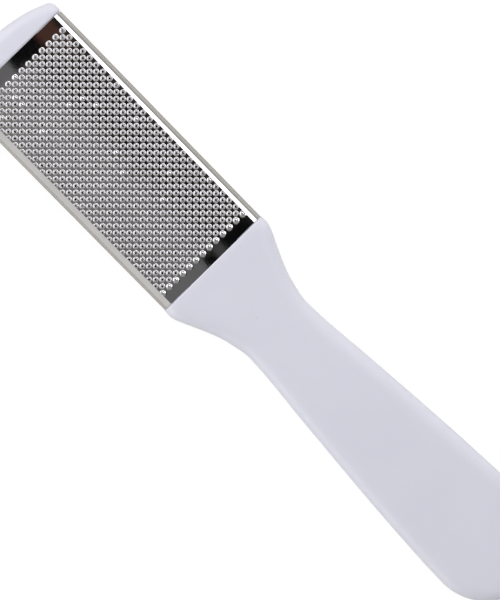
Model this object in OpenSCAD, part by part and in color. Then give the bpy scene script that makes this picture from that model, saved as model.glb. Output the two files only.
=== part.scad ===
// Two-sided foot rasp: a paddle handle and an end cap of white plastic hold two pierced
// steel rasp plates on a ribbed plastic core. X runs along the file towards the cap,
// Y across it and Z up. The file lies on its lower face at z = 0.

/* [Head] */
// Length of rasp plate that shows between the shoulder and the cap
plate_l = 94.4; // [90:0.1:100]
// Width over the rolled edges of a rasp plate
plate_w = 44.5; // [44:0.1:45]
// Distance from the middle plane to the outer face of a rasp plate
plate_rise = 4.8; // [4.6:0.1:4.9]
// Thickness of the rasp plates' steel
sheet_t = 0.5; // [0.4:0.05:0.6]
// Outer radius of the rolled edges
roll_r = 2.95; // [2.5:0.05:3.2]

/* [Burrs] */
// Spacing of the coarse burrs along the rows that run at 45 degrees to the file
coarse_pitch = 2.2; // [2.1:0.05:2.4]
// Height of the coarse burrs above the sheet
coarse_h = 0.4; // [0.3:0.05:0.6]
// Spacing of the fine burrs along their rows at 45 degrees
fine_pitch = 1.8; // [1.7:0.05:2]
// Height of the fine burrs above the sheet
fine_h = 0.3; // [0.25:0.05:0.45]
// Bare polished strip at each end of the plate
bare_end = 4.6; // [4.2:0.1:6]

/* [Cap] */
// Length of the cap past the plate, at the middle
cap_l = 9.05; // [9:0.05:11]
// Width of the cap
cap_w = 45; // [44.9:0.1:45.2]
// Radius of the cap's curved end
cap_end_r = 52; // [45:1:60]
// Radius of the cap's two corners
cap_corner_r = 3.2; // [3:0.1:4]

/* [Handle] */
// Thickness of the plastic, and of the whole file
file_t = 11.2; // [11:0.1:12]
// Half of the handle's width at the widest, where its round end starts
butt_half_w = 20.3; // [19.5:0.1:21]
// Length of the handle's round end
butt_l = 20.8; // [18:0.1:22]
// Width of the soft rounding along the handle's edges
edge_w = 6; // [5:0.5:6.5]
// Wall left at the handle's sides
side_wall = 3; // [3:0.1:3.5]

/* [Hidden] */
$fn = 32;

half_t = file_t / 2;
white = [0.86, 0.86, 0.9];
steel = [0.78, 0.78, 0.77];

// The handle's half-width against the distance from its shoulder. The neck is at 32.
side_points = [[0, 22.5], [3, 22.6], [5.5, 21.95], [10.5, 19.7], [16.5, 17.05], [22.5, 15],
               [32, 13.4], [61, 15.7], [88, 17.9], [112, 19.5], [133.3, butt_half_w]];
side_l = side_points[len(side_points) - 1][0];
handle_l = side_l + butt_l;
side_steps = 26;
butt_steps = 12;

// The middle of the length is at x = 0.
total_l = handle_l + plate_l + cap_l;
tip_x = total_l / 2;
cap_x = tip_x - cap_l;
shoulder_x = cap_x - plate_l;
butt_x = shoulder_x - side_l;

// Rounding of the plastic's edges: a superellipse with this exponent
handle_round = 2.6;
cap_round = 2.3;
cap_edge_w = 4;
round_steps = 7;
cap_least_r = 0.3;
corner_steps = 6;
end_steps = 8;

// Cavity, tongue, tabs and bosses
fit_gap = 0.1;
cavity_h = 3.4;
hollow_from = 3;
rib_t = 1.2;
rib_x = [12, -12, -31, -50, -67.5, -85, -102];
boss_x = [12, -12, -50, -85, -112];
boss_r = 2.5;
tongue_l = 45.5;
tongue_w = 19;
tongue_h = 6.4;
mouth_l = 8;
tab_l = 3;
tab_w = 22.8;
peg_r = 1.95;
peg_l = 8;
peg_y = 12;

// Core and seam
seam_gap = 0.05;
core_w = plate_w - 2 * sheet_t - 2 * fit_gap;
core_h = 2 * (plate_rise - sheet_t - fit_gap);
core_r = roll_r - sheet_t - fit_gap;
web_t = 1.6;
cell_start = 4.5;
cell_end = 10.25;
cell_count = 4;
cell_rib = 2;
cell_w = 18.4;

// Field that the burrs fill. Its middle lies off the plate's middle, and it is a little askew.
field_w = 37.4;
field_shift = [-0.2, 0.4];
field_turn = 0.27;

// Radii of a burr: of its foot, of its top, and of its crater at the back and at the mouth
coarse_burr = [1, 0.5, 0.85, 0.2];
fine_burr = [0.8, 0.4, 0.66, 0.15];
burr_sides = 24;

// How far a cutter passes a face, and how far joined shapes reach into each other
over = 1;

// ---- Curves ----

function unit(v) = v / norm(v);

// Slope at point i of a curve through the points p, level at both ends
function slope(p, i) = i == 0 || i == len(p) - 1
    ? 0
    : (p[i + 1][1] - p[i - 1][1]) / (p[i + 1][0] - p[i - 1][0]);

function span_at(p, s, i = 0) = i >= len(p) - 2 || s <= p[i + 1][0] ? i : span_at(p, s, i + 1);

// Smooth curve through the points p at s
function curve(p, s) =
    let(i = span_at(p, s), l = p[i + 1][0] - p[i][0], t = (s - p[i][0]) / l)
    (2 * t^3 - 3 * t^2 + 1) * p[i][1] + (t^3 - 2 * t^2 + t) * l * slope(p, i)
    + (3 * t^2 - 2 * t^3) * p[i + 1][1] + (t^3 - t^2) * l * slope(p, i + 1);

// Its steepness at s, level at the shoulder and where the round end starts
function steepness(p, s) = let(h = 0.01)
    s < h || s > side_l - h ? 0 : (curve(p, s + h) - curve(p, s - h)) / (2 * h);

// Point of the handle's side at distance s from the shoulder, moved in by inset
function side_point(s, inset) =
    [shoulder_x - s, curve(side_points, s)] - inset * unit([steepness(side_points, s), 1]);

// Point of the handle's elliptical end, a = 90 at its start and 0 at the tip
function butt_point(a, inset) =
    [butt_x - butt_l * cos(a), butt_half_w * sin(a)]
    - inset * unit([-butt_half_w * cos(a), butt_l * sin(a)]);

// Stations along the side, closer together near the shoulder's corner
function side_s(k) = side_l * (k / side_steps)^1.5;

function handle_half(inset, from = 0) = concat(
    [for (k = [from:side_steps]) side_point(side_s(k), inset)],
    [for (k = [1:butt_steps]) butt_point(90 - 90 * k / butt_steps, inset)]);

// Outline of the cap on its -Y half: straight side, corner arc, wide end arc
function cap_half(inset) =
    let(w = cap_w / 2 - inset, r = max(cap_corner_r - inset, cap_least_r), big = cap_end_r - inset,
        cx = tip_x - cap_end_r, corner_x = cx + sqrt((big - r)^2 - (w - r)^2),
        a = atan2(w - r, corner_x - cx))
    concat([[cap_x, -w]],
           [for (k = [0:corner_steps]) let(b = (90 - a) * k / corner_steps)
            [corner_x + r * sin(b), r - w - r * cos(b)]],
           [for (k = [end_steps - 1:-1:0]) let(b = a * k / end_steps)
            [cx + big * cos(b), -big * sin(b)]]);

// A half outline with its mirror image. The last point of the half is on the axis.
function whole(half) = concat(half, [for (i = [len(half) - 2:-1:0]) [half[i][0], -half[i][1]]]);

function lift(points, z) = [for (p = points) [p[0], p[1], z]];

// Share of the edge width, and of half the thickness, at angle a of a superellipse
function round_in(a, n) = 1 - cos(a)^(2 / n);
function round_up(a, n) = sign(a) * abs(sin(a))^(2 / n);

// ---- Shapes ----

// Solid through rings of equal length, lowest first and counterclockwise from above.
// Every ring is symmetric about the X axis, and starts and ends in one flat end face.
module lofted(rings) {
    n = len(rings[0]);
    m = len(rings);
    lid = (m - 1) * n;
    strips = [for (i = [0:(n - 3) / 2 - 1]) [i, i + 1, n - 2 - i, n - 1 - i]];
    nose = [(n - 3) / 2, (n - 1) / 2, (n + 1) / 2];
    bottom = concat(strips, [nose]);
    top = [for (f = bottom) [for (i = [len(f) - 1:-1:0]) lid + f[i]]];
    end = concat([for (k = [0:m - 1]) k * n + n - 1], [for (k = [m - 1:-1:0]) k * n]);
    walls = [for (k = [0:m - 2], i = [0:n - 2], upper = [true, false]) let(a = k * n + i)
             upper ? [a, a + n, a + n + 1] : [a, a + n + 1, a + 1]];
    polyhedron([for (r = rings) each r], concat(bottom, top, [end], walls), convexity = 4);
}

// Rectangle with round corners, centred
module rounded(w, h, r) {
    square([w - 2 * r, h], center = true);
    square([w, h - 2 * r], center = true);
    for (sx = [-1, 1], sy = [-1, 1])
        translate([sx * (w / 2 - r), sy * (h / 2 - r)]) circle(r);
}

// Extrusion along X of a shape drawn across the file
module along(x0, x1) {
    translate([x0, 0, 0]) rotate([90, 0, 90]) linear_extrude(x1 - x0) children();
}

module block(x0, x1, w, z0, z1) {
    translate([x0, -w / 2, z0]) cube([x1 - x0, w, z1 - z0]);
}

// Puts a piece drawn about the middle plane onto the surface that the file lies on
module at_rest() {
    translate([0, 0, half_t]) children();
}

// Slots for the tabs of both rasp plates, past the end face at x
module tab_slots(x) {
    for (s = [-1, 1])
        translate([x, 0, s * (plate_rise - sheet_t / 2)])
            cube([2 * (tab_l + 2 * fit_gap), tab_w + 4 * fit_gap, sheet_t + 2 * fit_gap],
                 center = true);
}

// Upper half of the handle's outer form
module handle_form() {
    lofted([for (k = [0:round_steps]) let(a = 90 * k / round_steps)
            lift(whole(handle_half(edge_w * round_in(a, handle_round))),
                 half_t * round_up(a, handle_round))]);
}

// Hollow of one shell, with its ribs left standing
module handle_hollow() {
    difference() {
        union() {
            difference() {
                polygon(whole(handle_half(side_wall, hollow_from)));
                for (x = rib_x) translate([x, 0]) square([rib_t, 2 * butt_half_w], center = true);
                translate([-total_l / 2, -rib_t / 2]) square([total_l / 2, rib_t]);
            }
            translate([shoulder_x - tongue_l - 2 * fit_gap, -tongue_w / 2 - fit_gap])
                square([tongue_l, tongue_w + 2 * fit_gap]);
        }
        for (x = boss_x) translate([x, 0]) circle(boss_r);
    }
}

module handle_shell() {
    difference() {
        handle_form();
        translate([0, 0, -over]) linear_extrude(cavity_h + over) handle_hollow();
        block(shoulder_x - mouth_l, shoulder_x + over, tongue_w + 2 * fit_gap, -over, cavity_h);
        tab_slots(shoulder_x);
    }
}

// Sheet with rolled edges, open towards the middle plane, and its two tabs
module plate_sheet() {
    along(shoulder_x, cap_x) intersection() {
        difference() {
            rounded(plate_w, 2 * plate_rise, roll_r);
            rounded(plate_w - 2 * sheet_t, 2 * (plate_rise - sheet_t), roll_r - sheet_t);
        }
        translate([-plate_w, seam_gap]) square([2 * plate_w, plate_w]);
    }
    for (x = [shoulder_x - tab_l, cap_x - over])
        block(x, x + tab_l + over, tab_w, plate_rise - sheet_t, plate_rise);
}

// Places of a staggered grid of burrs with rows at 45 degrees to the file
module burr_field(pitch) {
    step = pitch / sqrt(2);
    columns = floor((plate_l - 2 * bare_end) / step);
    half_rows = floor(field_w / 2 / step);
    translate([(shoulder_x + cap_x) / 2 + field_shift[0], field_shift[1], 0]) rotate(field_turn)
        for (c = [0:columns], r = [-half_rows:half_rows])
            if ((c + r) % 2 == 0)
                translate([(c - columns / 2) * step, r * step, 0]) children();
}

// Rasp plate whose burrs are craters of height h punched from behind, narrow at the top
module rasp_plate(pitch, h, burr) {
    difference() {
        union() {
            plate_sheet();
            burr_field(pitch)
                translate([0, 0, plate_rise - sheet_t / 2])
                    cylinder(h + sheet_t / 2, burr[0], burr[1], $fn = burr_sides);
        }
        burr_field(pitch)
            translate([0, 0, plate_rise - 2 * sheet_t])
                cylinder(h + 3 * sheet_t, burr[2], burr[3], $fn = burr_sides);
    }
}

// ---- Sub-parts ----

module handle_upper_shell() {
    color(white) at_rest() handle_shell();
}

module handle_lower_shell() {
    color(white) at_rest() mirror([0, 0, 1]) handle_shell();
}

module head_core() {
    cell_l = (plate_l - cell_start - cell_end - (cell_count - 1) * cell_rib) / cell_count;
    color(white) at_rest() difference() {
        union() {
            along(shoulder_x, cap_x) rounded(core_w, core_h, core_r);
            block(shoulder_x - tongue_l, shoulder_x + over, tongue_w, -tongue_h / 2, tongue_h / 2);
        }
        for (k = [0:cell_count - 1], sy = [-1, 1], sz = [-1, 1])
            translate([shoulder_x + cell_start + k * (cell_l + cell_rib) + cell_l / 2,
                       sy * (cell_w + cell_rib) / 2, sz * (core_h / 2 + web_t / 2)])
                cube([cell_l, cell_w, core_h], center = true);
        for (sy = [-1, 1]) translate([cap_x - peg_l, sy * peg_y, 0])
            rotate([0, 90, 0]) cylinder(peg_l + over, r = peg_r + fit_gap / 2);
        for (x = [boss_x[0], boss_x[1]])
            translate([x, 0, -tongue_h]) cylinder(2 * tongue_h, r = boss_r + fit_gap);
    }
}

module end_cap() {
    color(white) at_rest() {
        difference() {
            lofted([for (k = [-round_steps:round_steps]) let(a = 90 * k / round_steps)
                    lift(whole(cap_half(cap_edge_w * round_in(a, cap_round))),
                         half_t * round_up(a, cap_round))]);
            tab_slots(cap_x);
        }
        for (sy = [-1, 1]) translate([cap_x - peg_l + 2 * fit_gap, sy * peg_y, 0])
            rotate([0, 90, 0]) cylinder(peg_l + over, r = peg_r);
    }
}

module coarse_rasp_plate() {
    color(steel) at_rest() rasp_plate(coarse_pitch, coarse_h, coarse_burr);
}

module fine_rasp_plate() {
    color(steel) at_rest() mirror([0, 0, 1]) rasp_plate(fine_pitch, fine_h, fine_burr);
}

handle_upper_shell();
handle_lower_shell();
head_core();
end_cap();
coarse_rasp_plate();
fine_rasp_plate();
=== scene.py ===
"""Looks of the two-sided foot rasp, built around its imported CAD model. Lengths are in metres."""
import math
import random
from collections import namedtuple

import bpy
import numpy as np
from mathutils import Matrix, Vector
from mathutils.geometry import delaunay_2d_cdt


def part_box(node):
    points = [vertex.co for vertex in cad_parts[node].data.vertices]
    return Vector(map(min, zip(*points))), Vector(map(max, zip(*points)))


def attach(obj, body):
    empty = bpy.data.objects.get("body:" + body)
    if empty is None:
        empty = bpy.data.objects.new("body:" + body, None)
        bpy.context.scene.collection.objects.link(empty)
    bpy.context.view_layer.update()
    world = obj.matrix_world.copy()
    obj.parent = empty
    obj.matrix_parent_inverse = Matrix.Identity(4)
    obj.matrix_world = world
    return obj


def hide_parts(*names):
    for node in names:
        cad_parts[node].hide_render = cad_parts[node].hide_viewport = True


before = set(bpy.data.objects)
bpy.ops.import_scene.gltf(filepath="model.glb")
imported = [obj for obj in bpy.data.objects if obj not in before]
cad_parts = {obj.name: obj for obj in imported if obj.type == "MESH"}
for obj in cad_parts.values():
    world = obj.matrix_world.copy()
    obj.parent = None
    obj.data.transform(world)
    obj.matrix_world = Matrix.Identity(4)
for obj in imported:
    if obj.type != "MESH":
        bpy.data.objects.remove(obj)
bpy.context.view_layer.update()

MM = 0.001
BODY = "root"
SEED = 7

# ---- Places, from the CAD nodes ----

UPPER_LOW, UPPER_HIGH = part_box("handle_upper_shell")
LOWER_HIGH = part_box("handle_lower_shell")[1]
CORE_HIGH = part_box("head_core")[1]
CAP_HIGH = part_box("end_cap")[1]
COARSE_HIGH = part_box("coarse_rasp_plate")[1]
FINE_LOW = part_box("fine_rasp_plate")[0]

MID_Z = LOWER_HIGH.z
HALF_T = UPPER_HIGH.z - MID_Z
SHOULDER_X = UPPER_HIGH.x
BUTT_END_X = UPPER_LOW.x
CAP_X = CORE_HIGH.x
TIP_X = CAP_HIGH.x
CAP_HALF_W = CAP_HIGH.y
PLATE_HALF_W = COARSE_HIGH.y

# ---- Plastic forms: sizes that the boxes don't give ----

# The handle's side: distance from the shoulder and half of the width there, in mm
SIDE_MM = [(0, 22.5), (3, 22.6), (5.5, 21.95), (10.5, 19.7), (16.5, 17.05), (22.5, 15),
           (32, 13.4), (61, 15.7), (88, 17.9), (112, 19.5), (133.3, 20.3)]
SIDE_POINTS = [(s * MM, w * MM) for s, w in SIDE_MM]
SIDE_L = SIDE_POINTS[-1][0]
BUTT_HALF_W = SIDE_POINTS[-1][1]
BUTT_X = SHOULDER_X - SIDE_L
BUTT_L = BUTT_X - BUTT_END_X

# Width of the softened edges, and the exponents of their superellipses
HANDLE_EDGE, HANDLE_ROUND = 6 * MM, 2.6
CAP_EDGE, CAP_ROUND = 4 * MM, 2.3

# The cap's end is an arc with rounded corners
CAP_END_R = 52 * MM
CAP_CORNER_R = 3.2 * MM
CAP_LEAST_R = 0.3 * MM

# Rounding where the plastic meets the plates, and along the handle's seam
LIP_R = 0.35 * MM
CAP_LIP_R = 0.9 * MM
LIP_STEPS = (0, 0.1, 0.3, 0.6, 1.0)
CAP_LIP_STEPS = (0, 0.06, 0.2, 0.4, 0.7, 1.0)
SEAM_CHAMFER = 0.12 * MM

# How fine the meshes are. The handle's points lie closer near the shoulder and near the seam.
SIDE_STEPS, SIDE_FIRST, SIDE_GROWTH = 150, 6, 1.3
BUTT_STEPS = 56
SHELL_STEPS, SHELL_GROWTH = 18, 1.15
CAP_CORNER_STEPS, CAP_END_STEPS, CAP_STEPS = 16, 40, 16
PLASTIC_SHARP_DEG = 40


# ---- Meshes ----

def new_piece(name, verts, faces):
    """New object of these vertices and faces, shaded smooth."""
    mesh = bpy.data.meshes.new(name)
    mesh.from_pydata([tuple(v) for v in verts], [], faces)
    mesh.validate()
    mesh.update()
    mesh.polygons.foreach_set("use_smooth", [True] * len(mesh.polygons))
    piece = bpy.data.objects.new(name, mesh)
    bpy.context.scene.collection.objects.link(piece)
    return piece


def sharpen(piece, degrees, crease=None):
    """Keeps crisp the edges that turn more than this many degrees, and those on the crease:
    a test of a vertex's place."""
    mesh = piece.data
    mesh.set_sharp_from_angle(angle=math.radians(degrees))
    if crease:
        on_crease = [crease(v.co) for v in mesh.vertices]
        for edge in mesh.edges:
            if all(on_crease[i] for i in edge.vertices):
                edge.use_edge_sharp = True


def curve(points, s):
    """Height and slope at s of the smooth curve through the points, level at both ends."""
    def slope(i):
        if i in (0, len(points) - 1):
            return 0.0
        return (points[i + 1][1] - points[i - 1][1]) / (points[i + 1][0] - points[i - 1][0])

    i = 0
    while i < len(points) - 2 and s > points[i + 1][0]:
        i += 1
    (s0, w0), (s1, w1) = points[i], points[i + 1]
    length = s1 - s0
    t = (s - s0) / length
    m0, m1 = slope(i) * length, slope(i + 1) * length
    height = ((2 * t**3 - 3 * t**2 + 1) * w0 + (t**3 - 2 * t**2 + t) * m0
              + (3 * t**2 - 2 * t**3) * w1 + (t**3 - t**2) * m1)
    steep = ((6 * t**2 - 6 * t) * w0 + (3 * t**2 - 4 * t + 1) * m0
             + (6 * t - 6 * t**2) * w1 + (3 * t**2 - 2 * t) * m1) / length
    return height, steep


def unit(x, y):
    """The direction of (x, y), at length 1."""
    length = math.hypot(x, y)
    return x / length, y / length


def handle_outline():
    """Points, outward directions and distances from the shoulder, round the handle's outline."""
    stations = [LIP_R * f for f in LIP_STEPS]
    stations += [SIDE_L * (k / SIDE_STEPS)**SIDE_GROWTH for k in range(SIDE_FIRST, SIDE_STEPS + 1)]
    half = []
    for s in stations:
        w, steep = curve(SIDE_POINTS, s)
        half.append((SHOULDER_X - s, w, unit(steep, 1), s))
    for k in range(1, BUTT_STEPS + 1):
        a = math.radians(90 - 90 * k / BUTT_STEPS)
        out = unit(-BUTT_HALF_W * math.cos(a), BUTT_L * math.sin(a))
        half.append((BUTT_X - BUTT_L * math.cos(a), BUTT_HALF_W * math.sin(a), out, SIDE_L))
    back = [(x, -y, (n[0], -n[1]), s) for x, y, n, s in reversed(half[:-1])]
    return half + back


def cap_outline(inset):
    """The cap's outline, moved in by inset, as points and distances from the plate."""
    w = CAP_HALF_W - inset
    r = max(CAP_CORNER_R - inset, CAP_LEAST_R)
    big = CAP_END_R - inset
    cx = TIP_X - CAP_END_R
    corner_x = cx + math.sqrt((big - r)**2 - (w - r)**2)
    a = math.atan2(w - r, corner_x - cx)
    points = [(CAP_X + CAP_LIP_R * f, -w) for f in CAP_LIP_STEPS]
    for k in range(CAP_CORNER_STEPS + 1):
        b = (math.pi / 2 - a) * k / CAP_CORNER_STEPS
        points.append((corner_x + r * math.sin(b), r - w - r * math.cos(b)))
    for k in range(CAP_END_STEPS - 1, -1, -1):
        b = a * k / CAP_END_STEPS
        points.append((cx + big * math.cos(b), -big * math.sin(b)))
    whole = points + [(x, -y) for x, y in reversed(points[:-1])]
    return [(x, y, x - CAP_X) for x, y in whole]


def lip_drop(distance, r):
    """How far a surface falls back at a rounded end edge of radius r."""
    if distance >= r:
        return 0.0
    return r - math.sqrt(r**2 - (r - distance)**2)


def loft(rings):
    """Closed mesh through rings of equal length, counterclockwise from above, lowest first.
    Each ring is symmetric about the X axis, so its flat faces are strips from side to side."""
    n, m = len(rings[0]), len(rings)
    lid = (m - 1) * n
    verts = [p for ring in rings for p in ring]
    strips = [[i, i + 1, n - 2 - i, n - 1 - i] for i in range((n - 3) // 2)]
    strips.append([(n - 3) // 2, (n - 1) // 2, (n + 1) // 2])
    faces = [f[::-1] for f in strips] + [[lid + i for i in f] for f in strips]
    faces.append([k * n for k in range(m)] + [k * n + n - 1 for k in range(m - 1, -1, -1)])
    for k in range(m - 1):
        for i in range(n - 1):
            a = k * n + i
            faces.append([a, a + 1, a + n + 1, a + n])
    return verts, faces


def round_share(a, n):
    """Shares of the edge's width and height, at angle a of a superellipse of exponent n."""
    return 1 - math.cos(a)**(2 / n), math.copysign(abs(math.sin(a))**(2 / n), a)


def handle_shell(name, side):
    """Upper (side 1) or lower (side -1) shell, with a fine chamfer along the seam."""
    outline = handle_outline()
    rings = [[(x - nx * 2 * SEAM_CHAMFER, y - ny * 2 * SEAM_CHAMFER, MID_Z)
              for x, y, (nx, ny), s in outline]]
    for k in range(SHELL_STEPS + 1):
        a = math.radians(90) * (k / SHELL_STEPS)**SHELL_GROWTH
        inward, up = round_share(a, HANDLE_ROUND)
        ring = []
        for x, y, (nx, ny), s in outline:
            drop = lip_drop(s, LIP_R)
            inset = HANDLE_EDGE * inward + drop * math.cos(a)
            z = max(HALF_T * up - drop * math.sin(a), SEAM_CHAMFER)
            ring.append((x - nx * inset, y - ny * inset, MID_Z + side * z))
        rings.append(ring)
    verts, faces = loft(rings)
    if side < 0:
        faces = [f[::-1] for f in faces]
    piece = new_piece(name, verts, faces)
    sharpen(piece, PLASTIC_SHARP_DEG)
    return piece


def cap(name):
    """End cap, rounded all round its end and at its lip."""
    rings = []
    for k in range(-CAP_STEPS, CAP_STEPS + 1):
        a = math.radians(90) * k / CAP_STEPS
        inward, up = round_share(a, CAP_ROUND)
        ring = []
        for x, y, distance in cap_outline(CAP_EDGE * inward):
            drop = lip_drop(distance, CAP_LIP_R)
            ring.append((x, y - math.copysign(drop * math.cos(a), y),
                         MID_Z + HALF_T * up - drop * math.sin(a)))
        rings.append(ring)
    verts, faces = loft(rings)
    piece = new_piece(name, verts, faces)
    sharpen(piece, PLASTIC_SHARP_DEG)
    return piece


# ---- Rasp plates ----

SHEET_T = 0.5 * MM
PLATE_RISE = 4.8 * MM
ROLL_R = 2.95 * MM
ROLL_STEPS = 14
FACET_DEG = 30
SEAM_GAP = 0.05 * MM

# The plate ends a little before the shoulder and the cap. Only its tabs reach into them.
END_GAP = 0.25 * MM
TAB_HALF_W = 11.4 * MM
TAB_IN = 1.0 * MM
TAB_CORNERS = 4
STATIONS = 40

# Field of burrs: bare length at each end, width, and how it sits on the plate
BARE_END = 4.6 * MM
FIELD_W = 37.4 * MM
FIELD_SHIFT = (-0.2 * MM, 0.4 * MM)
FIELD_TURN = math.radians(0.27)

# A burr's profile: radius and height, as shares of the foot's radius and of the burr's height,
# from the foot over the rim and down the crater. A closed burr ends on its axis.
CRATER = [(1.0, 0.0), (0.94, 0.02), (0.88, 0.07), (0.82, 0.15), (0.76, 0.26), (0.70, 0.41),
          (0.64, 0.58), (0.58, 0.76), (0.53, 0.9), (0.49, 0.98), (0.45, 1.0), (0.41, 0.93),
          (0.37, 0.76), (0.33, 0.48), (0.30, 0.1), (0.28, -0.5)]
DOME = [(1.0, 0.0), (0.93, 0.03), (0.86, 0.1), (0.79, 0.2), (0.71, 0.34), (0.63, 0.5),
        (0.54, 0.65), (0.45, 0.77), (0.36, 0.85), (0.26, 0.9), (0.16, 0.93), (0.07, 0.94)]
BURR_SIDES = 20
ANGLES = [2 * math.pi * k / BURR_SIDES for k in range(BURR_SIDES)]

# Mean height as a share of the room for it, and how far sizes and heights vary from the mean
BURR_TALL = 0.93
SIZE_SPREAD = 0.015
TALL_SPREAD = 0.07

# Radii, as shares of the foot's, of the opening left in the sheet's face and in its back
FACE_HOLE = 1.02
BACK_HOLE = 0.7

# How far a foot runs on towards the bare strip, as a share of its radius, in the column next to
# the shoulder (-1) or the cap (1). It has faded out at this share of the radius.
RUN_ON = {-1: 0.5, 0: 0.0, 1: 0.2}
RUN_FADE = 0.7

# Burrs stay this far inside the fold of a rolled edge, and their tops up to this much more
FOLD_CLEAR = 0.04 * MM
FOLD_LEAN = 0.24 * MM
FOLD_TOL = 0.001 * MM
STEEL_SHARP_DEG = 55

# How the sheet's face is filled: with triangles inside its outline, to this tolerance
FILL_INSIDE, FILL_TOL = 1, 1e-7

Burr = namedtuple("Burr", "x y blind size tall run")
Face = namedtuple("Face", "pitch foot_r height blind_share seed")
COARSE = Face(2.2 * MM, 1.04 * MM, COARSE_HIGH.z - MID_Z - PLATE_RISE, 0.02, SEED)
FINE = Face(1.8 * MM, 0.84 * MM, MID_Z - PLATE_RISE - FINE_LOW.z, 0.015, SEED + 1)


class Skin:
    """Vertices and faces of a mesh in the making."""

    def __init__(self):
        self.verts = []
        self.faces = []

    def add(self, points, z):
        """Adds points at height z, and returns their indices."""
        start = len(self.verts)
        self.verts.extend((x, y, z) for x, y in points)
        return list(range(start, len(self.verts)))

    def bridge(self, low, high):
        """Joins two closed rings by a band of quads."""
        for k in range(len(low)):
            j = (k + 1) % len(low)
            self.faces.append([low[k], low[j], high[j], high[k]])


def cross_section():
    """Half of the plate's outer profile: distance from the axis and height, from the flat out.
    A flat facet comes first, then the roll, then the flange."""
    centre_y, centre_z = PLATE_HALF_W - ROLL_R, PLATE_RISE - ROLL_R
    points = [(centre_y, PLATE_RISE)]
    for k in range(ROLL_STEPS + 1):
        a = math.radians(FACET_DEG + (90 - FACET_DEG) * k / ROLL_STEPS)
        points.append((centre_y + ROLL_R * math.sin(a), centre_z + ROLL_R * math.cos(a)))
    points.append((PLATE_HALF_W, SEAM_GAP))
    return points


def burr_sites(face):
    """The burrs, staggered: place, open or closed, size, height, and which way the foot runs on.
    The column next to the shoulder is closed."""
    rng = random.Random(face.seed)
    step = face.pitch / math.sqrt(2)
    columns = math.floor((CAP_X - SHOULDER_X - 2 * BARE_END) / step)
    rows = math.floor(FIELD_W / 2 / step)
    middle = Vector(((SHOULDER_X + CAP_X) / 2 + FIELD_SHIFT[0], FIELD_SHIFT[1]))
    turn = Matrix.Rotation(FIELD_TURN, 2)
    burrs = []
    for c in range(columns + 1):
        for r in range(-rows, rows + 1):
            if (c + r) % 2:
                continue
            blind = rng.random() < face.blind_share or c == 0
            size = 1 + rng.uniform(-SIZE_SPREAD, SIZE_SPREAD)
            tall = BURR_TALL * (1 + rng.uniform(-TALL_SPREAD, TALL_SPREAD))
            run = (c == columns) - (c == 0)
            x, y = middle + turn @ Vector(((c - columns / 2) * step, r * step))
            burrs.append(Burr(x, y, blind, size, tall, run))
    return burrs


def burr_ring(burr, radii, share, flat_y):
    """Ring round a burr, kept on the flat. share is its share of the foot's radius."""
    limit = flat_y - FOLD_CLEAR - (1 - share) * FOLD_LEAN
    return [(burr.x + r * math.cos(a), max(-limit, min(limit, burr.y + r * math.sin(a))))
            for r, a in zip(radii, ANGLES)]


def reach(burr, foot_r):
    """How far the burr's foot runs on at each of the angles."""
    return [foot_r * RUN_ON[burr.run] * math.sqrt(max(0.0, burr.run * math.cos(a)))
            for a in ANGLES]


def flat_outline(stations, flat_y):
    """Outline of the flat. Its long edges meet the rolled edges, and tabs run on at its ends."""
    low, high = stations[0], stations[-1]
    outline = [(x, -flat_y) for x in stations]
    outline += [(high, -TAB_HALF_W), (high + TAB_IN, -TAB_HALF_W),
                (high + TAB_IN, TAB_HALF_W), (high, TAB_HALF_W)]
    outline += [(x, flat_y) for x in stations[::-1]]
    outline += [(low, TAB_HALF_W), (low - TAB_IN, TAB_HALF_W),
                (low - TAB_IN, -TAB_HALF_W), (low, -TAB_HALF_W)]
    return outline


def pierced(outline, feet):
    """Faces that fill the outline, apart from the feet. Indices count the outline's points and
    then each foot's."""
    n = len(outline)
    points = outline + [p for foot in feet for p in foot]
    edges = [(i, (i + 1) % n) for i in range(n)]
    for first in range(n, len(points), BURR_SIDES):
        edges += [(first + k, first + (k + 1) % BURR_SIDES) for k in range(BURR_SIDES)]
    cdt = delaunay_2d_cdt([Vector(p) for p in points], edges, [list(range(n))],
                          FILL_INSIDE, FILL_TOL)
    out_verts, out_faces, origins = cdt[0], cdt[2], cdt[3]
    index = [ids[0] if ids else -1 for ids in origins]
    if len(out_verts) != len(points) or -1 in index:
        print("plate outline changed:", len(points), len(out_verts))
    faces = []
    for face in out_faces:
        face = [index[i] for i in face]
        owners = {(i - n) // BURR_SIDES if i >= n else -1 for i in face}
        if len(owners) > 1 or -1 in owners:
            faces.append(face)
    return faces


def raise_burr(skin, burr, face, foot, hole, flat_y):
    """Rings from the foot over the rim, then to the sheet's back or closed on the axis."""
    extra = reach(burr, face.foot_r)
    previous = foot
    for share, rise in DOME if burr.blind else CRATER:
        spread = max(0.0, (share - RUN_FADE) / (1 - RUN_FADE))
        radii = [face.foot_r * burr.size * share + e * spread for e in extra]
        ring = skin.add(burr_ring(burr, radii, share, flat_y),
                        PLATE_RISE + face.height * rise * burr.tall)
        skin.bridge(previous, ring)
        previous = ring
    if burr.blind:
        skin.faces += [previous, hole[::-1]]
    else:
        skin.bridge(previous, hole)


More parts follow.
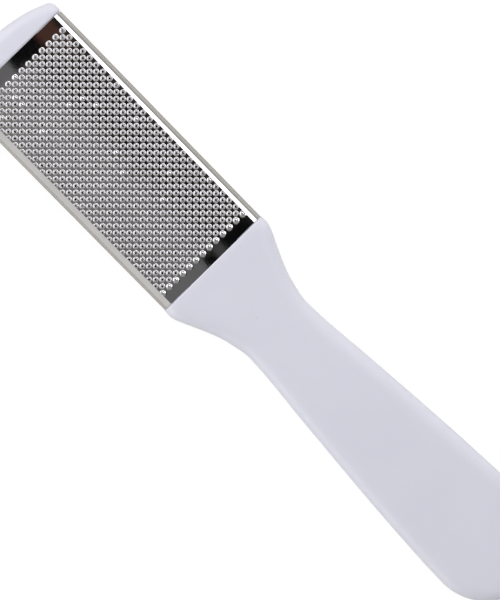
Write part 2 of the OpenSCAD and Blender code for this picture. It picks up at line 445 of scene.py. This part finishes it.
def rolled_edge(skin, sign, stations, section, outer_row, inner_row):
    """Outer and inner skin of a rolled edge, on the side of this sign, joined at their rims."""
    last = len(stations) - 1
    outer, inner = [outer_row], [inner_row]
    for j in range(1, len(section)):
        w, z = section[j]
        before, after = section[j - 1], section[min(j + 1, len(section) - 1)]
        ny, nz = unit(before[1] - after[1], after[0] - before[0])
        outer.append(skin.add([(x, sign * w) for x in stations], z))
        inner.append(skin.add([(x, sign * (w - SHEET_T * ny)) for x in stations],
                              max(z - SHEET_T * nz, SEAM_GAP)))

    def quad(points, turned):
        skin.faces.append(points[::-1] if turned else points)

    low_side = sign < 0
    for j in range(len(section) - 1):
        for i in range(last):
            quad([outer[j][i], outer[j][i + 1], outer[j + 1][i + 1], outer[j + 1][i]], low_side)
            quad([inner[j][i], inner[j][i + 1], inner[j + 1][i + 1], inner[j + 1][i]],
                 not low_side)
        for i in (0, last):
            quad([outer[j][i], outer[j + 1][i], inner[j + 1][i], inner[j][i]],
                 (i == 0) != low_side)
    for i in range(last):
        quad([outer[-1][i], outer[-1][i + 1], inner[-1][i + 1], inner[-1][i]], low_side)


def rasp_plate(name, side, face):
    """Sheet with rolled edges and craters, as one closed mesh. side is 1 for the upper plate."""
    burrs = burr_sites(face)
    section = cross_section()
    flat_y = section[0][0]
    stations = np.linspace(SHOULDER_X + END_GAP, CAP_X - END_GAP, STATIONS)
    outline = flat_outline(stations, flat_y)
    n = len(outline)
    feet, holes = [], []
    for burr in burrs:
        radii = [face.foot_r * burr.size * FACE_HOLE + e for e in reach(burr, face.foot_r)]
        feet.append(burr_ring(burr, radii, FACE_HOLE, flat_y))
        holes.append(burr_ring(burr, [face.foot_r * BACK_HOLE] * BURR_SIDES, BACK_HOLE, flat_y))

    skin = Skin()
    front = skin.add(outline + [p for foot in feet for p in foot], PLATE_RISE)
    back = skin.add(outline + [p for hole in holes for p in hole], PLATE_RISE - SHEET_T)
    for flat in pierced(outline, feet):
        skin.faces.append([front[i] for i in flat])
        skin.faces.append([back[i] for i in reversed(flat)])
    for k, burr in enumerate(burrs):
        own = slice(n + k * BURR_SIDES, n + (k + 1) * BURR_SIDES)
        raise_burr(skin, burr, face, front[own], back[own], flat_y)

    # The outline's long edges, both in the order of the stations
    right = slice(0, STATIONS)
    left = slice(2 * STATIONS + TAB_CORNERS - 1, STATIONS + TAB_CORNERS - 1, -1)
    for sign, row in ((-1, right), (1, left)):
        rolled_edge(skin, sign, stations, section, front[row], back[row])

    # End edges of the flat and of its tabs
    ends = [*range(STATIONS - 1, STATIONS + TAB_CORNERS), *range(n - TAB_CORNERS - 1, n)]
    for i in ends:
        j = (i + 1) % n
        skin.faces.append([front[i], back[i], back[j], front[j]])

    verts = [(x, y, MID_Z + side * z) for x, y, z in skin.verts]
    faces = [f[::-1] for f in skin.faces] if side < 0 else skin.faces
    piece = new_piece(name, verts, faces)
    flat_z = MID_Z + side * PLATE_RISE

    def on_fold(co):
        return abs(abs(co.y) - flat_y) < FOLD_TOL and abs(co.z - flat_z) < FOLD_TOL

    sharpen(piece, STEEL_SHARP_DEG, on_fold)
    return piece


# ---- Materials ----

WHITE_TONES = ((0.778, 0.78, 0.858), (0.758, 0.765, 0.843))
WHITE_ROUGHNESS = 0.36
CORE_TONES = ((0.78, 0.78, 0.83), (0.74, 0.74, 0.80))
CORE_ROUGHNESS = 0.5
GLOSS_LESS, GLOSS_MORE = 0.04, 0.05
SPECK_GREY, SPECK_SHARE = (0.40, 0.42, 0.48), 0.4
STEEL_TONES = ((0.88, 0.87, 0.87), (0.82, 0.81, 0.81))
STEEL_HAZE = (0.015, 0.045)

# A Mix node's sockets for colours
MIX_A, MIX_B, MIX_OUT = 6, 7, 2


def shader(name):
    """New material, with its node tree and its Principled shader."""
    material = bpy.data.materials.new(name)
    material.use_nodes = True
    tree = material.node_tree
    return material, tree, tree.nodes["Principled BSDF"]


def node(tree, kind, **values):
    """New node. Names of inputs set their values; other names are the node's own settings."""
    new = tree.nodes.new(kind)
    for key, value in values.items():
        socket = key.replace("_", " ").title()
        if socket in new.inputs:
            new.inputs[socket].default_value = value
        else:
            setattr(new, key, value)
    return new


def noise(tree, scale, detail=4.0, roughness=0.5, stretch=(1, 1, 1)):
    """Noise on the object's own coordinates, as an output. scale is cells per metre."""
    place = tree.nodes.new("ShaderNodeTexCoord")
    mapping = tree.nodes.new("ShaderNodeMapping")
    mapping.inputs["Scale"].default_value = stretch
    tree.links.new(place.outputs["Object"], mapping.inputs["Vector"])
    new = node(tree, "ShaderNodeTexNoise", scale=scale, detail=detail, roughness=roughness)
    tree.links.new(mapping.outputs["Vector"], new.inputs["Vector"])
    return new.outputs["Fac"]


def ramp(tree, source, low, high, a, b):
    """Output that goes from a to b as source goes from low to high."""
    new = tree.nodes.new("ShaderNodeMapRange")
    for key, value in zip(("From Min", "From Max", "To Min", "To Max"), (low, high, a, b)):
        new.inputs[key].default_value = value
    tree.links.new(source, new.inputs["Value"])
    return new.outputs["Result"]


def mixed(tree, factor, a, b):
    """Colour between a and b. Each is a colour, or the output of another mix."""
    new = tree.nodes.new("ShaderNodeMix")
    new.data_type = "RGBA"
    tree.links.new(factor, new.inputs["Factor"])
    for index, colour in ((MIX_A, a), (MIX_B, b)):
        if isinstance(colour, bpy.types.NodeSocket):
            tree.links.new(colour, new.inputs[index])
        else:
            new.inputs[index].default_value = (*colour, 1)
    return new.outputs[MIX_OUT]


def bump(tree, height, strength, distance, under=None):
    """Normal bumped by height, on top of the normal given as under."""
    new = node(tree, "ShaderNodeBump", strength=strength, distance=distance)
    tree.links.new(height, new.inputs["Height"])
    if under is not None:
        tree.links.new(under, new.inputs["Normal"])
    return new.outputs["Normal"]


def plastic(name, base, tint, roughness):
    """White moulded plastic: faint clouding, a few dust specks, and a fine moulded skin."""
    material, tree, principled = shader(name)
    clouds = ramp(tree, noise(tree, scale=45, detail=3), 0.35, 0.68, 0, 1)
    colour = mixed(tree, clouds, base, tint)
    specks = ramp(tree, noise(tree, scale=620, detail=1, roughness=0.3), 0.80, 0.85, 0, SPECK_SHARE)
    colour = mixed(tree, specks, colour, SPECK_GREY)
    tree.links.new(colour, principled.inputs["Base Color"])
    skin = noise(tree, scale=2600, detail=2)
    waves = noise(tree, scale=60, detail=1)
    normal = bump(tree, waves, strength=0.25, distance=0.4 * MM)
    normal = bump(tree, skin, strength=0.10, distance=0.03 * MM, under=normal)
    tree.links.new(normal, principled.inputs["Normal"])
    gloss = ramp(tree, noise(tree, scale=300, detail=4), 0.3, 0.7,
                 roughness - GLOSS_LESS, roughness + GLOSS_MORE)
    tree.links.new(gloss, principled.inputs["Roughness"])
    principled.inputs["Specular IOR Level"].default_value = 0.4
    principled.inputs["Subsurface Weight"].default_value = 0.08
    principled.inputs["Subsurface Radius"].default_value = (0.004, 0.004, 0.005)
    principled.inputs["Subsurface Scale"].default_value = 0.3
    return material


def steel(name):
    """Polished stainless sheet: slight buffing haze and ripples, and fine scratches along it."""
    material, tree, principled = shader(name)
    tone = ramp(tree, noise(tree, scale=130, detail=4), 0.35, 0.7, 0, 1)
    colour = mixed(tree, tone, *STEEL_TONES)
    tree.links.new(colour, principled.inputs["Base Color"])
    principled.inputs["Metallic"].default_value = 1.0
    haze = ramp(tree, noise(tree, scale=500, detail=5, roughness=0.6), 0.35, 0.75, *STEEL_HAZE)
    tree.links.new(haze, principled.inputs["Roughness"])
    ripple = noise(tree, scale=260, detail=2)
    scratch = noise(tree, scale=900, detail=6, roughness=0.7, stretch=(0.06, 1, 1))
    normal = bump(tree, ripple, strength=0.06, distance=0.04 * MM)
    normal = bump(tree, scratch, strength=0.08, distance=0.01 * MM, under=normal)
    tree.links.new(normal, principled.inputs["Normal"])
    return material


def dress(piece, material, slot, *replaced):
    """Gives a piece its material. A piece that replaces CAD nodes also gets its body; slot is not
    used.
    """
    piece.data.materials.clear()
    piece.data.materials.append(material)
    if replaced:
        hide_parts(*replaced)
        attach(piece, BODY)


# ---- The object ----

white = plastic("handle_plastic", *WHITE_TONES, WHITE_ROUGHNESS)
core_white = plastic("core_plastic", *CORE_TONES, CORE_ROUGHNESS)
bright = steel("rasp_steel")

dress(handle_shell("upper_handle", 1), white, "handle_plastic", "handle_upper_shell")
dress(handle_shell("lower_handle", -1), white, "handle_plastic", "handle_lower_shell")
dress(cap("tip_cap"), white, "handle_plastic", "end_cap")
dress(rasp_plate("coarse_plate", 1, COARSE), bright, "rasp_steel", "coarse_rasp_plate")
dress(rasp_plate("fine_plate", -1, FINE), bright, "rasp_steel", "fine_rasp_plate")
dress(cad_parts["head_core"], core_white, "core_plastic")


# ---- Stage ----

HEAD = Vector(((SHOULDER_X + CAP_X) / 2, 0, MID_Z))
FLOOR_SIZE = 60
FLOOR_SEEN = 0.94
FLOOR_PAPER = (0.60, 0.585, 0.54)
FLOOR_FAINT = (0.10, 0.10, 0.10)
WORLD_GREY = (0.29, 0.295, 0.295)

SOFT_WHITE = (0.985, 0.965, 1.01)
WALL = (1.0, 0.985, 0.96)
BEIGE = (0.46, 0.445, 0.41)
PURE_WHITE = (1, 1, 1)

# Cards round the head: name, width, height, azimuth from +X and elevation in degrees, distance,
# colour and strength
CARDS = [
    ("light_right", 1.1, 0.6, -90, 60, 1.0, SOFT_WHITE, 1.95),
    ("light_left_1", 0.54, 0.95, 2, 30, 1.0, SOFT_WHITE, 1.35),
    ("light_left_2", 0.54, 0.95, 32, 30, 1.0, SOFT_WHITE, 1.35),
    ("light_left_3", 0.54, 0.95, 62, 30, 1.0, SOFT_WHITE, 1.35),
    ("wall_left", 0.45, 1.1, 90, 34, 1.05, WALL, 0.62),
    ("wall_right", 0.9, 0.3, -90, 12, 1.0, BEIGE, 1.0)]

# Low soft lights on the plastic, which the steel doesn't mirror
FILLS = [
    ("fill_left", 1.2, 0.5, 90, 14, 0.9, PURE_WHITE, 2.5),
    ("fill_right", 1.2, 0.5, -90, 14, 0.9, PURE_WHITE, 2.3),
    ("fill_top", 1.2, 0.5, 0, 16, 0.9, PURE_WHITE, 1.4)]
CARD_AIM = (0.05, 0, 0)

# The dark card over the head, whose tones paint the reflections in the flat steel: its size and
# place, then where its tones begin and end to change, from its middle along X or across it along Y,
# and the tones
FLAG_SIZE, FLAG_PLACE = (0.62, 0.40), (0.06, 0.0, 0.9)
BURRS_FROM, BURRS_TO = (-0.108, -0.104), (0.088, 0.091)
CORNER_ACROSS, CORNER_ALONG = (-0.030, -0.034), (0.06, 0.09)
RIM_ACROSS = (-0.048, -0.050)
BLOTCH_FROM, BLOTCH_TO, BLOTCH_ALONG = (-0.0245, -0.022), (-0.0155, -0.0135), (0.0, 0.01)
STRIP_GREY_ACROSS, BURRS_GREY_ACROSS = (-0.0045, -0.0025), (-0.023, 0.004)
GREY_ALONG = (-0.08, 0.085)
BLOTCH_SHARE = 0.05
STRIP_BLACK, STRIP_BROWN = (0.004, 0.004, 0.004), (0.062, 0.030, 0.022)
STRIP_RIM, STRIP_GREY = (0.012, 0.012, 0.012), (0.13, 0.128, 0.132)
BURRS_DARK, BURRS_BROWN = (0.014, 0.0115, 0.0105), (0.062, 0.034, 0.028)
BURRS_RIM, BURRS_GREYS = (0.03, 0.028, 0.026), ((0.13, 0.127, 0.128), (0.2, 0.184, 0.188))


def plane(name, size_x, size_y, place, aim=None):
    """Flat piece of the stage, level or facing a point."""
    x, y = size_x / 2, size_y / 2
    mesh = bpy.data.meshes.new(name)
    mesh.from_pydata([(-x, -y, 0), (x, -y, 0), (x, y, 0), (-x, y, 0)], [], [(0, 1, 2, 3)])
    piece = bpy.data.objects.new(name, mesh)
    bpy.context.scene.collection.objects.link(piece)
    piece.location = place
    if aim is not None:
        piece.rotation_euler = (Vector(aim) - Vector(place)).to_track_quat("Z", "Y").to_euler()
    return piece


def bare_material(name):
    """New material with no shader yet: itself, its node tree and its output node."""
    material = bpy.data.materials.new(name)
    material.use_nodes = True
    material.node_tree.nodes.clear()
    return material, material.node_tree, material.node_tree.nodes.new("ShaderNodeOutputMaterial")


def glow(name, colour, strength):
    """Material that gives light: itself, its node tree and its emission node."""
    material, tree, out = bare_material(name)
    emission = node(tree, "ShaderNodeEmission", color=(*colour, 1), strength=strength)
    tree.links.new(emission.outputs[0], out.inputs["Surface"])
    return material, tree, emission


def floor():
    """Pale floor: near white where it is seen, and a duller table where the steel mirrors it."""
    piece = plane("floor", FLOOR_SIZE, FLOOR_SIZE, (0, 0, 0))
    material, tree, out = bare_material("floor")
    seen = node(tree, "ShaderNodeEmission", color=(1, 1, 1, 1), strength=FLOOR_SEEN)
    paper = node(tree, "ShaderNodeBsdfDiffuse", color=(*FLOOR_PAPER, 1))
    faint = node(tree, "ShaderNodeBsdfDiffuse", color=(*FLOOR_FAINT, 1))
    both = tree.nodes.new("ShaderNodeAddShader")
    pick = tree.nodes.new("ShaderNodeMixShader")
    ray = tree.nodes.new("ShaderNodeLightPath")
    tree.links.new(seen.outputs[0], both.inputs[0])
    tree.links.new(faint.outputs[0], both.inputs[1])
    tree.links.new(ray.outputs["Is Camera Ray"], pick.inputs[0])
    tree.links.new(paper.outputs[0], pick.inputs[1])
    tree.links.new(both.outputs[0], pick.inputs[2])
    tree.links.new(pick.outputs[0], out.inputs["Surface"])
    piece.data.materials.append(material)


def around(azimuth, elevation, distance):
    """Place seen from the head at this azimuth from +X and this elevation, in degrees."""
    a, e = math.radians(azimuth), math.radians(elevation)
    flat = distance * math.cos(e)
    return HEAD.x + flat * math.cos(a), HEAD.y + flat * math.sin(a), distance * math.sin(e)


def card(name, size_x, size_y, azimuth, elevation, distance, colour, strength):
    """Glowing card that lights the object and shows in its steel, and isn't seen itself."""
    piece = plane(name, size_x, size_y, around(azimuth, elevation, distance), aim=CARD_AIM)
    piece.data.materials.append(glow(name, colour, strength)[0])
    piece.visible_camera = False
    return piece


def product(tree, a, b):
    """Output of a times b."""
    both = node(tree, "ShaderNodeMath", operation="MULTIPLY")
    tree.links.new(a, both.inputs[0])
    tree.links.new(b, both.inputs[1])
    return both.outputs[0]


def dark_flag():
    """Dark card over the head, which the flat steel mirrors. Its tones are painted reflections,
    each laid over a part of the plate. The part that the burrs stand over is dark towards -Y and
    fades to grey.
    The parts over the bare strips are black, one with a blotch, and turn grey at an edge. The +X -Y
    corner is brown."""
    piece = plane("dark_flag", *FLAG_SIZE, FLAG_PLACE)
    material, tree, emission = glow("dark_flag", (0, 0, 0), 1.0)
    place = tree.nodes.new("ShaderNodeTexCoord")
    split = tree.nodes.new("ShaderNodeSeparateXYZ")
    tree.links.new(place.outputs["Object"], split.inputs[0])
    along, across = split.outputs["X"], split.outputs["Y"]
    over_burrs = product(tree, ramp(tree, along, *BURRS_FROM, 0, 1),
                         ramp(tree, along, *BURRS_TO, 1, 0))
    corner = product(tree, ramp(tree, across, *CORNER_ACROSS, 0, 1),
                     ramp(tree, along, *CORNER_ALONG, 0, 1))
    rim = ramp(tree, across, *RIM_ACROSS, 0, 1)

    blotch = product(tree, ramp(tree, across, *BLOTCH_FROM, 0, 1),
                     ramp(tree, across, *BLOTCH_TO, BLOTCH_SHARE, 0))
    blotch = product(tree, blotch, ramp(tree, along, *BLOTCH_ALONG, 1, 0))
    strip = mixed(tree, corner, STRIP_BLACK, STRIP_BROWN)
    strip = mixed(tree, rim, strip, STRIP_RIM)
    strip = mixed(tree, blotch, strip, PURE_WHITE)
    strip = mixed(tree, ramp(tree, across, *STRIP_GREY_ACROSS, 0, 1), strip, STRIP_GREY)

    grey = mixed(tree, ramp(tree, along, *GREY_ALONG, 0, 1), *BURRS_GREYS)
    field = mixed(tree, corner, BURRS_DARK, BURRS_BROWN)
    field = mixed(tree, rim, field, BURRS_RIM)
    field = mixed(tree, ramp(tree, across, *BURRS_GREY_ACROSS, 0, 1), field, grey)

    tree.links.new(mixed(tree, over_burrs, strip, field), emission.inputs["Color"])
    piece.data.materials.append(material)
    piece.visible_camera = False


floor()
dark_flag()
for row in CARDS:
    card(*row)
for row in FILLS:
    card(*row).visible_glossy = False

world = bpy.data.worlds.new("studio")
bpy.context.scene.world = world
world.use_nodes = True
world.node_tree.nodes["Background"].inputs["Color"].default_value = (*WORLD_GREY, 1)


# ---- Camera ----

# Nearly straight above, tilted a little, and rolled so that the file lies across the picture
CAMERA_D = 0.7
TILT_X, TILT_Y = math.radians(6.64), math.radians(0.53)
ROLL = math.radians(-44.27)
TARGET = Vector((0.0075, -0.0003, MID_Z))
LENS, SENSOR = 125.5, 36
NEAREST = 0.01

back = Vector((math.sin(TILT_X), math.sin(TILT_Y), 1)).normalized()
up = Vector((math.cos(ROLL), math.sin(ROLL), 0))
up = (up - back * up.dot(back)).normalized()
right = up.cross(back)
camera = bpy.data.objects.new("camera", bpy.data.cameras.new("camera"))
bpy.context.scene.collection.objects.link(camera)
camera.matrix_world = Matrix((
    (right.x, up.x, back.x, TARGET.x + CAMERA_D * back.x),
    (right.y, up.y, back.y, TARGET.y + CAMERA_D * back.y),
    (right.z, up.z, back.z, TARGET.z + CAMERA_D * back.z),
    (0, 0, 0, 1)))
camera.data.lens = LENS
camera.data.sensor_width = SENSOR
camera.data.clip_start = NEAREST
bpy.context.scene.camera = camera
bpy.context.scene.view_settings.view_transform = "Standard"
